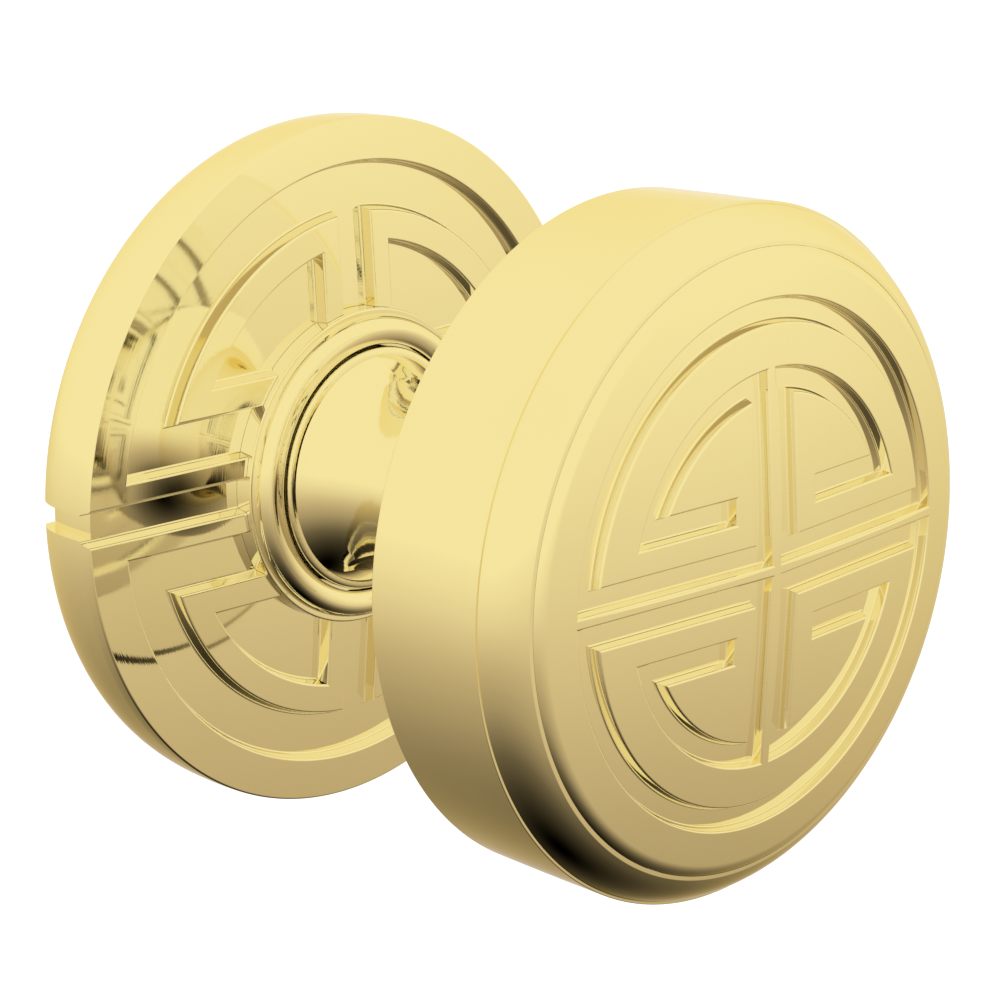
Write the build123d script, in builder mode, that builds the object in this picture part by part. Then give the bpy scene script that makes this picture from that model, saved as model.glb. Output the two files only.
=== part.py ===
"""Sprung door knob on a round rose: the knob turns about Y, its rose is fixed to the door face at Y = 0.

Frame: +Z up, the knob stands out along -Y, and the origin is the centre of the rose's back face.
A profile is drawn as (s, r): s is the distance out from the door face, r the radius about the Y axis.
"""
import math
import os

from build123d import *

# ---- driving dimensions, in mm ------------------------------------------------------------------
# rose
ROSE_R = 33.25           # radius at the front edge
ROSE_BACK_R = 31.35      # radius on the door
ROSE_WALL_S = 8.1        # height of the outer wall
ROSE_DOME = 2.1          # rise of the domed front above the wall
ROSE_CAVITY_R = 28.8
ROSE_CEILING_S = 6.0
ROSE_HOLE_R = 13.0
ROSE_SEAT_S = 8.35       # flat seat under the collar ring
ROSE_RELIEF = 1.25       # depth of the fretwork ground
RIM_R = 29.0             # inner radius of the raised rim
SLOT_HALF = 1.55         # half width of the level slot between the two raised halves
SLOT_DEPTH = 1.15        # how far the slot cuts into the outer wall
STRIP_TOP = 3.8          # upper side of the level strip
FRAME_R2 = 24.6          # corner frames: outer and inner radius
FRAME_R1 = 21.5
FRAME_Z1 = 8.05          # corner frames: lower side, and lower side of the panel inside
FRAME_Z2 = 10.9
FRAME_X1 = 2.0
FRAME_X2 = 4.5

# collar ring round the neck
COLLAR_R = 15.25
COLLAR_BACK_S = 6.1
COLLAR_FLANGE_S = 10.35
COLLAR_EDGE = 0.25       # broken edges
COLLAR_BEAD_R = 14.7
COLLAR_MOUTH_R = 11.95
COLLAR_BORE_R = 11.2
COLLAR_TOP_S = 12.0

# knob head
HEAD_BACK_S = 41.2
HEAD_BACK_R = 30.1
HEAD_REAR_R = 31.2       # radius of the wall at its back end
HEAD_REAR_S = 42.1
HEAD_FRONT_R = 31.76     # radius of the wall at its front end
HEAD_EDGE_S = 54.75
HEAD_BORE_R = 29.3
HEAD_WALL = 2.2
CONE_RISE = 0.13         # how far the cone bulges
LIP_ROUND = 0.2
LIP_R = 28.55            # front lip that holds the face disc
LIP_S = 58.45
FACE_R = 28.3
FACE_SEAT_S = 56.2
FACE_RIM_S = 58.55       # face dome at LIP_R
FACE_DOME = 2.68
FACE_RELIEF = 1.0        # depth of the fretwork grooves
RING_R2 = 23.9           # ring groove
RING_R1 = 21.9
BAR_HALF_Z = 0.6         # level bar between the grooves
BAR_HALF_X = 0.65        # upright bar
LEVEL_Z2 = 2.65          # far side of the level grooves
UPRIGHT_X2 = 2.75        # far side of the upright grooves
ARC_R2 = 17.9            # inner arc grooves
ARC_R1 = 15.85
HOOK_Z1 = 5.25           # level hooks at the ends of the arcs
HOOK_Z2 = 7.45
HOOK_X1 = 5.45

# neck and spindle
NECK_SHOULDER_R = 11.75
NECK_SHOULDER_S = 11.25
NECK_CREASE_R = 11.0
NECK_CREASE_S = 12.0
NECK_WAIST_R = 8.1
NECK_WAIST_S = 20.5
NECK_FLANGE_R = 14.0
NECK_FLANGE_S = 39.9
NECK_FLANGE_T = 1.0
NECK_EDGE = 0.2          # broken edge of the shoulder
JOURNAL_R = 9.0
JOURNAL_END_S = 0.5
STEM_R = 7.9
STEM_END_S = 52.5
SPINDLE_SIDE = 8.0
SPINDLE_IN_S = 22.0
SPINDLE_OUT = 25.0       # how far the spindle reaches into the door
FLAT_X = 8.0             # flats that drive the spring driver
CIRCLIP_GROOVE_R = 8.3
CIRCLIP_S1 = 0.6
CIRCLIP_S2 = 1.6
GRUB_S = 17.5
GRUB_R = 2.5
GRUB_LENGTH = 4.0
GRUB_KEY_R = 1.44        # corners of its hexagon socket

# fixing and spring cassette
PLATE_T = 2.0
PLATE_R = 28.5
PLATE_HOLE_R = 11.0
POST_X = 19.0            # half of the 38 mm between the two fixing posts
POST_R = 3.75
POST_LENGTH = 9.5
POST_THREAD_R = 1.65     # tapped M4
POST_CHAMFER = 0.5
SCREW_R = 1.75
SCREW_PITCH_R = 22.0
SCREW_LENGTH = 9.0
SCREW_HEAD_R = 3.4
SCREW_SINK = 0.05        # how far the heads lie below the plate's front
SCREW_POINT = 3.0
RECESS = (3.2, 0.7)      # length and width of a cross recess
RECESS_DEPTH = 1.0
SNAP_RING_WIRE_R = 0.5
CASSETTE_R = 16.4
CASSETTE_WALL = 0.8
CASSETTE_FLOOR_S = 2.5
CASSETTE_LID_S = 5.1
CASSETTE_TOP_S = 5.6
STOP_PIN_R = 1.0
STOP_PITCH_R = 12.6
SPRING_WIRE_R = 0.35
SPRING_COIL_R = 14.6
SPRING_PITCH = 0.8
SPRING_LEG_ANGLE = 10.5
BUSH_R = 9.06            # running fit on the journal
BUSH_FLANGE_R = 12.4
BUSH_END_S = 10.9
DRIVER_R = 10.9          # ring that carries the two lugs
SPRING_LUG = (2.6, 1.6)  # width and height of the upper lug
SPRING_LUG_Z = 11.4
STOP_LUG = (4.4, 3.2)    # width and height of the lower lug
STOP_LUG_Z = 11.9
LEG_END_R = 11.4         # where the spring's turned-in ends stop
LEG_POST = (3.3, 1.1)    # width and height of the post between the ends
LEG_POST_Z = 13.3
CIRCLIP_R = 10.25
CIRCLIP_OFFSET = 0.35    # how far its outside lies off the axis
CIRCLIP_MOUTH = 2.6
NUT_R = 12.0             # across flats, halved
NUT_HEIGHT = 5.0
WASHER_R = 13.0
WASHER_T = 1.2
TURN_LIMIT = 55.0        # how far the knob turns each way, in degrees
STOP_SPARE = 1.6         # angle left between lug and pin at the limit

FIT = 0.02               # gap left between pieces that are pressed together
FAR = 40.0               # beyond every radius

RADIAL = Plane(origin=(0, 0, 0), x_dir=(0, -1, 0), z_dir=(-1, 0, 0))  # x = s, y = r


def save(piece, label):
    """Name a finished piece and write it."""
    piece.part.label = label
    export_step(piece.part, f"parts/{label}.step")


def front(s):
    """The plane at distance s out from the door, seen from the knob's side."""
    return Plane.XZ.offset(s)


def dome(s_edge, r_edge, rise, s_back):
    """A solid under a spherical dome that passes s_edge at r_edge and rises by rise at the centre."""
    sphere_r = (r_edge**2 + rise**2) / (2 * rise)
    reach = FAR / 2 + r_edge / 2
    s_reach = s_edge + rise - sphere_r + math.sqrt(sphere_r**2 - reach**2)
    with BuildPart() as solid:
        with BuildSketch(RADIAL):
            with BuildLine():
                RadiusArc((s_edge + rise, 0), (s_reach, reach), -sphere_r)
                Polyline((s_reach, reach), (s_back, reach), (s_back, 0), (s_edge + rise, 0))
            make_face()
        revolve(axis=Axis.Y)
    return solid.part


def plug(s1, s2, radius):
    """A plain round solid between two distances."""
    with BuildPart() as solid:
        with BuildSketch(front(s1)):
            Circle(radius)
        extrude(amount=s2 - s1)
    return solid.part


def ring(s1, s2, r1, r2):
    """A plain ring between two distances and two radii."""
    with BuildPart() as solid:
        with BuildSketch(front(s1)):
            Circle(r2)
            Circle(r1, mode=Mode.SUBTRACT)
        extrude(amount=s2 - s1)
    return solid.part


def four_way(x, z):
    """The four mirrored places of a point."""
    return [(i * x, j * z) for i in (-1, 1) for j in (-1, 1)]


def span_rectangles(x1, x2, z1, z2):
    """Four mirrored rectangles that each span x1..x2 and z1..z2."""
    with Locations(*four_way((x1 + x2) / 2, (z1 + z2) / 2)):
        Rectangle(x2 - x1, z2 - z1)


# ---- fretwork -----------------------------------------------------------------------------------
def rose_ground():
    """Ground of the rose's fretwork: everything that lies below the raised lines."""
    with BuildSketch() as frames:
        Circle(FRAME_R2)
        Rectangle(2 * FAR, 2 * FRAME_Z1, mode=Mode.SUBTRACT)
        Rectangle(2 * FRAME_X1, 2 * FAR, mode=Mode.SUBTRACT)
    with BuildSketch() as panels:
        Circle(FRAME_R1)
        Rectangle(2 * FAR, 2 * FRAME_Z2, mode=Mode.SUBTRACT)
        Rectangle(2 * FRAME_X2, 2 * FAR, mode=Mode.SUBTRACT)
    with BuildSketch(front(0)) as ground:
        Circle(RIM_R)
        Rectangle(2 * FAR, 2 * STRIP_TOP, mode=Mode.SUBTRACT)
        add(frames.sketch, mode=Mode.SUBTRACT)
        add(panels.sketch)
        Rectangle(2 * FAR, 2 * SLOT_HALF)
    return ground.sketch


def face_grooves():
    """Grooves of the knob's face: two half rings, level and upright runs, arcs and hooks."""
    with BuildSketch() as ring_groove:
        Circle(RING_R2)
        Circle(RING_R1, mode=Mode.SUBTRACT)
        Rectangle(2 * FAR, 2 * BAR_HALF_Z, mode=Mode.SUBTRACT)
    with BuildSketch() as level_runs:
        span_rectangles(BAR_HALF_X, RING_R2, BAR_HALF_Z, LEVEL_Z2)
        Circle(RING_R2, mode=Mode.INTERSECT)
    with BuildSketch() as inner_runs:
        span_rectangles(BAR_HALF_X, UPRIGHT_X2, BAR_HALF_Z, ARC_R2)
        span_rectangles(HOOK_X1, ARC_R2, HOOK_Z1, HOOK_Z2)
        Circle(ARC_R2, mode=Mode.INTERSECT)
    with BuildSketch() as arcs:
        Circle(ARC_R2)
        Circle(ARC_R1, mode=Mode.SUBTRACT)
        Rectangle(2 * FAR, 2 * HOOK_Z1, mode=Mode.SUBTRACT)
        Rectangle(2 * BAR_HALF_X, 2 * FAR, mode=Mode.SUBTRACT)
    with BuildSketch(front(0)) as grooves:
        add(ring_groove.sketch)
        add(level_runs.sketch)
        add(inner_runs.sketch)
        add(arcs.sketch)
    return grooves.sketch


def relief_tool(outline, s_edge, r_edge, rise, depth):
    """Cutter that sinks an outline to an even depth below a dome."""
    with BuildPart() as tool:
        for region in outline.faces():
            extrude(region, amount=2 * FAR, dir=(0, -1, 0))
        add(dome(s_edge - depth, r_edge, rise, -1.0), mode=Mode.SUBTRACT)
    return tool.part


# ---- rose: fixed to the door --------------------------------------------------------------------
def rose_turning(inset):
    """The rose's turned outer shape, taken in all round by inset."""
    with BuildPart() as turning:
        with BuildSketch(RADIAL):
            with BuildLine():
                Line((0, 0), (0, ROSE_BACK_R - inset))
                Spline(
                    (0, ROSE_BACK_R - inset),
                    (3.0, ROSE_R - 0.45 - inset),
                    (ROSE_WALL_S - 0.3, ROSE_R - inset),
                    tangents=((0.7, 0.75), (1, 0.02)),
                )
                Polyline(
                    (ROSE_WALL_S - 0.3, ROSE_R - inset),
                    (ROSE_WALL_S + 4, ROSE_R - inset),
                    (ROSE_WALL_S + 4, 0),
                    (0, 0),
                )
            make_face()
        revolve(axis=Axis.Y)
    return turning.part


def wall_slot():
    """Cutter for the two ends of the level slot in the outer wall."""
    with BuildPart() as cutter:
        with Locations((0, -ROSE_WALL_S / 2 - 1, 0)):
            Box(2 * FAR, ROSE_WALL_S + 4, 2 * SLOT_HALF)
        add(rose_turning(SLOT_DEPTH), mode=Mode.SUBTRACT)
    return cutter.part


def make_rose_cover():
    """Domed brass cover with raised fretwork, hollow behind, its wall notched at the slot's ends."""
    with BuildPart() as rose_cover:
        add(rose_turning(0))
        add(dome(ROSE_WALL_S, ROSE_R, ROSE_DOME, -1.0), mode=Mode.INTERSECT)
        add(relief_tool(rose_ground(), ROSE_WALL_S, ROSE_R, ROSE_DOME, ROSE_RELIEF), mode=Mode.SUBTRACT)
        add(wall_slot(), mode=Mode.SUBTRACT)
        add(plug(0, ROSE_CEILING_S, ROSE_CAVITY_R), mode=Mode.SUBTRACT)
        add(plug(0, 2 * ROSE_WALL_S, ROSE_HOLE_R), mode=Mode.SUBTRACT)
        add(plug(ROSE_SEAT_S, 2 * ROSE_WALL_S, COLLAR_R + FIT), mode=Mode.SUBTRACT)
        with Locations((0, -PLATE_T / 2, 0)):
            Torus(PLATE_R, SNAP_RING_WIRE_R + 0.05, rotation=(90, 0, 0), mode=Mode.SUBTRACT)
    save(rose_cover, "rose_cover")


def make_collar_ring():
    """Beaded ring that frames the neck and carries the bearing bush."""
    edge = COLLAR_EDGE
    with BuildPart() as collar_ring:
        with BuildSketch(RADIAL):
            with BuildLine():
                Polyline(
                    (COLLAR_BACK_S, COLLAR_BORE_R),
                    (COLLAR_BACK_S, ROSE_HOLE_R - FIT),
                    (ROSE_SEAT_S, ROSE_HOLE_R - FIT),
                    (ROSE_SEAT_S, COLLAR_R),
                    (COLLAR_FLANGE_S - edge, COLLAR_R),
                    (COLLAR_FLANGE_S, COLLAR_R - edge),
                    (COLLAR_FLANGE_S, COLLAR_BEAD_R),
                )
                Spline(
                    (COLLAR_FLANGE_S, COLLAR_BEAD_R),
                    (COLLAR_TOP_S, COLLAR_BEAD_R - 1.3),
                    (COLLAR_TOP_S - 0.35, COLLAR_MOUTH_R + edge),
                    tangents=((1, 0.05), (-0.75, -1)),
                )
                Polyline(
                    (COLLAR_TOP_S - 0.35, COLLAR_MOUTH_R + edge),
                    (COLLAR_TOP_S - 0.35 - edge, COLLAR_MOUTH_R),
                    (BUSH_END_S, COLLAR_MOUTH_R),
                    (BUSH_END_S, COLLAR_BORE_R),
                    (COLLAR_BACK_S, COLLAR_BORE_R),
                )
            make_face()
        revolve(axis=Axis.Y)
    save(collar_ring, "collar_ring")


def make_bearing_bush():
    """Flanged nylon bush in the collar ring's bore."""
    with BuildPart() as bearing_bush:
        add(ring(CASSETTE_TOP_S, COLLAR_BACK_S, BUSH_R, BUSH_FLANGE_R))
        add(ring(CASSETTE_TOP_S, BUSH_END_S, BUSH_R, COLLAR_BORE_R - FIT))
    save(bearing_bush, "bearing_bush")


def make_mounting_plate():
    """Steel plate on the door, with holes for the posts and countersinks for the screws."""
    with BuildPart() as mounting_plate:
        add(ring(0, PLATE_T, PLATE_HOLE_R, PLATE_R))
        with Locations(front(PLATE_T)):
            with PolarLocations(SCREW_PITCH_R, 4, 45):
                CounterSinkHole(SCREW_R + 0.15, SCREW_HEAD_R + 0.1, PLATE_T)
            with Locations((-POST_X, 0), (POST_X, 0)):
                Hole(POST_R + FIT)
        with Locations((0, -PLATE_T / 2, 0)):
            Torus(PLATE_R, SNAP_RING_WIRE_R + 0.05, rotation=(90, 0, 0), mode=Mode.SUBTRACT)
    save(mounting_plate, "mounting_plate")


def make_fixing_posts():
    """Two tapped posts pressed into the plate; they stand in the door and take M4 bolts."""
    with BuildPart() as fixing_posts:
        with BuildSketch(front(-POST_LENGTH)):
            with Locations((-POST_X, 0), (POST_X, 0)):
                Circle(POST_R)
        extrude(amount=POST_LENGTH + PLATE_T)
        outer_rims = fixing_posts.edges().filter_by(GeomType.CIRCLE).group_by(Axis.Y)[-1]
        chamfer(outer_rims, length=POST_CHAMFER)
        with Locations(Plane(origin=(0, POST_LENGTH, 0), x_dir=(1, 0, 0), z_dir=(0, 1, 0))):
            with Locations((-POST_X, 0), (POST_X, 0)):
                Hole(POST_THREAD_R)
    save(fixing_posts, "fixing_posts")


def make_plate_screws():
    """Four countersunk wood screws with cross recesses."""
    head_s = PLATE_T - SCREW_SINK
    cone = SCREW_HEAD_R - SCREW_R
    with BuildPart() as plate_screws:
        with BuildSketch(RADIAL):
            with BuildLine():
                Polyline(
                    (head_s, 0),
                    (head_s, SCREW_HEAD_R),
                    (head_s - cone, SCREW_R),
                    (head_s - SCREW_LENGTH + SCREW_POINT, SCREW_R),
                    (head_s - SCREW_LENGTH, 0.2),
                    (head_s - SCREW_LENGTH, 0),
                    (head_s, 0),
                )
            make_face()
        revolve(axis=Axis.Y)
        with BuildSketch(front(head_s - RECESS_DEPTH)):
            Rectangle(RECESS[0], RECESS[1])
            Rectangle(RECESS[1], RECESS[0])
        extrude(amount=2 * RECESS_DEPTH, mode=Mode.SUBTRACT)
    one = plate_screws.part
    with BuildPart() as group:
        with Locations(*[front(0) * loc for loc in PolarLocations(SCREW_PITCH_R, 4, 45, rotate=False)]):
            add(Plane.XZ.to_local_coords(one))
    save(group, "plate_screws")


def make_snap_ring():
    """Open wire ring that grips between the plate's edge and the cover."""
    with BuildPart() as snap_ring:
        with Locations((0, -PLATE_T / 2, 0)):
            Torus(PLATE_R, SNAP_RING_WIRE_R, rotation=(90, 0, 0))
        with Locations((0, -PLATE_T / 2, -PLATE_R)):
            Box(7.0, 2.0, 4.0, mode=Mode.SUBTRACT)
    save(snap_ring, "snap_ring")


def make_spring_cassette():
    """Cup that holds the return spring, with a post between the spring's legs."""
    with BuildPart() as spring_cassette:
        add(ring(PLATE_T, CASSETTE_LID_S, CASSETTE_R - CASSETTE_WALL, CASSETTE_R))
        add(ring(PLATE_T, CASSETTE_FLOOR_S, JOURNAL_R + 0.6, CASSETTE_R))
        with BuildSketch(front(CASSETTE_FLOOR_S)):
            with Locations((0, LEG_POST_Z)):
                Rectangle(*LEG_POST)
        extrude(amount=CASSETTE_LID_S - CASSETTE_FLOOR_S)
        with BuildSketch(front(PLATE_T)):
            with Locations(*stop_places()):
                Circle(STOP_PIN_R + FIT)
        extrude(amount=1.0, mode=Mode.SUBTRACT)
    save(spring_cassette, "spring_cassette")


def make_cassette_lid():
    """Flat lid of the cassette."""
    with BuildPart() as cassette_lid:
        add(ring(CASSETTE_LID_S, CASSETTE_TOP_S, JOURNAL_R + 0.6, CASSETTE_R))
    save(cassette_lid, "cassette_lid")


def stop_places():
    """Centres of the two stop pins, either side of the driver's lower lug."""
    lug_half = math.degrees(math.asin(STOP_LUG[0] / 2 / STOP_PITCH_R))
    pin_half = math.degrees(math.asin(STOP_PIN_R / STOP_PITCH_R))
    angle = TURN_LIMIT + lug_half + pin_half + STOP_SPARE
    places = []
    for side in (-1, 1):
        turn = math.radians(-90 + side * angle)
        places.append((STOP_PITCH_R * math.cos(turn), STOP_PITCH_R * math.sin(turn)))
    return places


def make_stop_pins():
    """Two pins that end the knob's turn each way."""
    with BuildPart() as stop_pins:
        with BuildSketch(front(PLATE_T)):
            with Locations(*stop_places()):
                Circle(STOP_PIN_R)
        extrude(amount=CASSETTE_LID_S - PLATE_T - 0.05)
    save(stop_pins, "stop_pins")


def make_return_spring():
    """Double-acting torsion spring: a coil with both ends turned inwards."""
    turn = 720 - 2 * SPRING_LEG_ANGLE
    height = SPRING_PITCH * turn / 360
    s_first = (CASSETTE_FLOOR_S + CASSETTE_LID_S - height) / 2
    with BuildPart() as wound:
        with BuildLine() as coil:
            Helix(SPRING_PITCH, height, SPRING_COIL_R, center=(0, -s_first, 0), direction=(0, -1, 0))
        with BuildSketch(Plane(origin=coil.line @ 0, z_dir=coil.line % 0)):
            Circle(SPRING_WIRE_R)
        sweep(path=coil.line, is_frenet=True)
        for end in (coil.line @ 0, coil.line @ 1):
            inward = Vector(-end.X, 0, -end.Z).normalized()
            with BuildSketch(Plane(origin=end, z_dir=inward)):
                Circle(SPRING_WIRE_R)
            extrude(amount=SPRING_COIL_R - LEG_END_R)
            with Locations(end):
                Sphere(SPRING_WIRE_R)
        first = coil.line @ 0
    first_angle = math.degrees(math.atan2(first.Z, first.X))
    with BuildPart() as return_spring:
        add(wound.part, rotation=(0, first_angle - 90 - SPRING_LEG_ANGLE, 0))
    save(return_spring, "return_spring")


# ---- knob: everything that turns ----------------------------------------------------------------
def make_spring_driver():
    """Ring driven by the neck's flats; its upper lug winds the spring, its lower lug meets the stops."""
    s1 = CASSETTE_FLOOR_S + 0.2
    with BuildPart() as spring_driver:
        with BuildSketch(front(s1)):
            Circle(DRIVER_R)
            with Locations((0, SPRING_LUG_Z)):
                Rectangle(*SPRING_LUG)
            with Locations((0, -STOP_LUG_Z)):
                Rectangle(*STOP_LUG)
            with BuildSketch(mode=Mode.SUBTRACT):
                Circle(JOURNAL_R + 0.05)
                Rectangle(2 * FLAT_X + 0.1, 2 * FAR, mode=Mode.INTERSECT)
        extrude(amount=CASSETTE_LID_S - 0.2 - s1)
    save(spring_driver, "spring_driver")


def make_neck():
    """Turned neck: journal and flats behind, waist, flared seat for the head and a threaded stem."""
    with BuildPart() as neck:
        with BuildSketch(RADIAL):
            with BuildLine():
                Polyline(
                    (JOURNAL_END_S, 0),
                    (JOURNAL_END_S, JOURNAL_R - 0.3),
                    (CIRCLIP_S1, JOURNAL_R - 0.3),
                    (CIRCLIP_S1, CIRCLIP_GROOVE_R),
                    (CIRCLIP_S2, CIRCLIP_GROOVE_R),
                    (CIRCLIP_S2, JOURNAL_R),
                    (NECK_SHOULDER_S, JOURNAL_R),
                    (NECK_SHOULDER_S, NECK_SHOULDER_R - NECK_EDGE),
                    (NECK_SHOULDER_S + NECK_EDGE, NECK_SHOULDER_R),
                )
                Spline(
                    (NECK_SHOULDER_S + NECK_EDGE, NECK_SHOULDER_R),
                    (NECK_CREASE_S, NECK_CREASE_R),
                    tangents=((1, 0), (0, -1)),
                )
                Spline(
                    (NECK_CREASE_S, NECK_CREASE_R),
                    (NECK_WAIST_S, NECK_WAIST_R),
                    (NECK_FLANGE_S, NECK_FLANGE_R),
                    tangents=((1, -0.75), (0.35, 1)),
                )
                Polyline(
                    (NECK_FLANGE_S, NECK_FLANGE_R),
                    (NECK_FLANGE_S + NECK_FLANGE_T, NECK_FLANGE_R),
                    (NECK_FLANGE_S + NECK_FLANGE_T, STEM_R),
                    (STEM_END_S - 0.6, STEM_R),
                    (STEM_END_S, STEM_R - 0.6),
                    (STEM_END_S, 0),
                    (JOURNAL_END_S, 0),
                )
            make_face()
        revolve(axis=Axis.Y)
        for side in (-1, 1):
            with Locations((side * (FLAT_X + 2), -CASSETTE_LID_S / 2, 0)):
                Box(4, CASSETTE_LID_S, 2 * FAR, mode=Mode.SUBTRACT)
        with BuildSketch(front(0)):
            Rectangle(SPINDLE_SIDE + 0.1, SPINDLE_SIDE + 0.1)
        extrude(amount=SPINDLE_IN_S + 0.5, mode=Mode.SUBTRACT)
        with BuildSketch(Plane.XY):
            with Locations((0, -GRUB_S)):
                Circle(GRUB_R)
        extrude(amount=-FAR, mode=Mode.SUBTRACT)
    save(neck, "neck")


def make_spindle():
    """Square half spindle that works the latch."""
    with BuildPart() as spindle:
        with BuildSketch(front(-SPINDLE_OUT)):
            Rectangle(SPINDLE_SIDE, SPINDLE_SIDE)
        extrude(amount=SPINDLE_OUT + SPINDLE_IN_S)
        chamfer(spindle.edges().group_by(Axis.Y)[-1], length=0.8)
        chamfer(spindle.edges().filter_by(Axis.Y), length=0.4)
    save(spindle, "spindle")


def make_grub_screw():
    """Socket set screw that holds the spindle in the neck from below."""
    with BuildPart() as grub_screw:
        with BuildSketch(Plane.XY.offset(-SPINDLE_SIDE / 2 - FIT)):
            with Locations((0, -GRUB_S)):
                Circle(GRUB_R - FIT)
        extrude(amount=-GRUB_LENGTH)
        with BuildSketch(Plane.XY.offset(-SPINDLE_SIDE / 2 - GRUB_LENGTH - 0.1)):
            with Locations((0, -GRUB_S)):
                RegularPolygon(radius=GRUB_KEY_R, side_count=6)
        extrude(amount=2.5, mode=Mode.SUBTRACT)
    save(grub_screw, "grub_screw")


def make_circlip():
    """Open retaining ring behind the cassette."""
    with BuildPart() as circlip:
        with BuildSketch(front(CIRCLIP_S1 + FIT)):
            with Locations((0, -CIRCLIP_OFFSET)):
                Circle(CIRCLIP_R)
            Circle(CIRCLIP_GROOVE_R + FIT, mode=Mode.SUBTRACT)
            with Locations((0, CIRCLIP_R)):
                Rectangle(CIRCLIP_MOUTH, CIRCLIP_R, mode=Mode.SUBTRACT)
        extrude(amount=CIRCLIP_S2 - CIRCLIP_S1 - 2 * FIT)
    save(circlip, "circlip")


def make_thrust_shim():
    """Thin washer between the circlip and the cassette."""
    with BuildPart() as thrust_shim:
        add(ring(CIRCLIP_S2 + FIT, PLATE_T - 0.1, JOURNAL_R + FIT, 10.5))
    save(thrust_shim, "thrust_shim")


def make_thrust_washer():
    """Nylon washer between the bush and the neck's shoulder."""
    with BuildPart() as thrust_washer:
        add(ring(BUSH_END_S + 0.05, NECK_SHOULDER_S - 0.05, BUSH_R, COLLAR_BORE_R - 0.1))
    save(thrust_washer, "thrust_washer")


def make_knob_shell():
    """Turned hollow head: dished back, round wall, cone and front lip."""
    hub_s = NECK_FLANGE_S + NECK_FLANGE_T
    inner_s = HEAD_BACK_S + HEAD_WALL
    ledge_r = FACE_R - 2.1
    with BuildPart() as knob_shell:
        with BuildSketch(RADIAL):
            with BuildLine():
                Polyline(
                    (hub_s, STEM_R + 0.05),
                    (hub_s, NECK_FLANGE_R + 0.4),
                    (HEAD_BACK_S, HEAD_BACK_R),
                    (HEAD_REAR_S - 0.1, HEAD_REAR_R - 0.1),
                    (HEAD_REAR_S + 0.15, HEAD_REAR_R),
                    (HEAD_EDGE_S - 0.35, HEAD_FRONT_R),
                    (HEAD_EDGE_S, HEAD_FRONT_R - 0.15),
                )
                ThreePointArc(
                    (HEAD_EDGE_S, HEAD_FRONT_R - 0.15),
                    ((HEAD_EDGE_S + LIP_S - LIP_ROUND) / 2, (HEAD_FRONT_R + LIP_R) / 2 + CONE_RISE),
                    (LIP_S - LIP_ROUND, LIP_R + 0.05),
                )
                Spline(
                    (LIP_S - LIP_ROUND, LIP_R + 0.05),
                    (LIP_S - 0.1, FACE_R + FIT),
                    tangents=((1, -0.75), (0, -1)),
                )
                Polyline(
                    (LIP_S - 0.1, FACE_R + FIT),
                    (FACE_SEAT_S, FACE_R + FIT),
                    (FACE_SEAT_S, ledge_r),
                    (FACE_SEAT_S - 1.2, ledge_r),
                    (HEAD_EDGE_S - 1.5, HEAD_BORE_R),
                    (inner_s + 2.0, HEAD_BORE_R),
                    (inner_s + 0.5, HEAD_BORE_R - 1.5),
                    (inner_s, HEAD_BORE_R - 5),
                    (inner_s, STEM_R + 0.05),
                    (hub_s, STEM_R + 0.05),
                )
            make_face()
        revolve(axis=Axis.Y)
    save(knob_shell, "knob_shell")


def make_face_disc():
    """Domed face disc with fretwork grooves, pressed into the lip."""
    with BuildPart() as face_disc:
        add(plug(FACE_SEAT_S, FACE_SEAT_S + 8, FACE_R))
        add(dome(FACE_RIM_S, LIP_R, FACE_DOME, -1.0), mode=Mode.INTERSECT)
        rims = face_disc.edges().filter_by(GeomType.CIRCLE).filter_by(lambda edge: abs(edge.radius - FACE_R) < FIT)
        chamfer(rims.group_by(Axis.Y)[0], length=0.25)
        add(relief_tool(face_grooves(), FACE_RIM_S, LIP_R, FACE_DOME, FACE_RELIEF), mode=Mode.SUBTRACT)
    save(face_disc, "face_disc")


def make_hub_washer():
    """Lock washer under the hub nut."""
    s1 = HEAD_BACK_S + HEAD_WALL
    with BuildPart() as hub_washer:
        add(ring(s1 + FIT, s1 + WASHER_T, STEM_R + 0.2, WASHER_R))
        with BuildSketch(front(s1)):
            with PolarLocations(WASHER_R, 12):
                Rectangle(1.2, 0.8)
        extrude(amount=2.0, mode=Mode.SUBTRACT)
    save(hub_washer, "hub_washer")


def make_hub_nut():
    """Hexagon nut on the neck's stem that clamps the head."""
    s1 = HEAD_BACK_S + HEAD_WALL + WASHER_T + FIT
    with BuildPart() as hub_nut:
        with BuildSketch(front(s1)):
            RegularPolygon(radius=NUT_R, side_count=6, major_radius=False)
            Circle(STEM_R + FIT, mode=Mode.SUBTRACT)
        extrude(amount=NUT_HEIGHT)
    save(hub_nut, "hub_nut")


os.makedirs("parts", exist_ok=True)

make_rose_cover()
make_collar_ring()
make_bearing_bush()
make_mounting_plate()
make_fixing_posts()
make_plate_screws()
make_snap_ring()
make_spring_cassette()
make_cassette_lid()
make_stop_pins()
make_return_spring()
make_spring_driver()
make_neck()
make_spindle()
make_grub_screw()
make_circlip()
make_thrust_shim()
make_thrust_washer()
make_knob_shell()
make_face_disc()
make_hub_washer()
make_hub_nut()
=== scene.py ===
"""Looks of the polished brass door knob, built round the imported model. Blender 4.5.

Turned and fretted pieces are drawn in millimetres as (x, z, s): across, up, and out from the door.
A profile is drawn as (s, r), r being the radius about the spindle's axis, with the metal on its right.
"""
import math

import bpy
import numpy as np
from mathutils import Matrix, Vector
from mathutils.geometry import delaunay_2d_cdt


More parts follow.
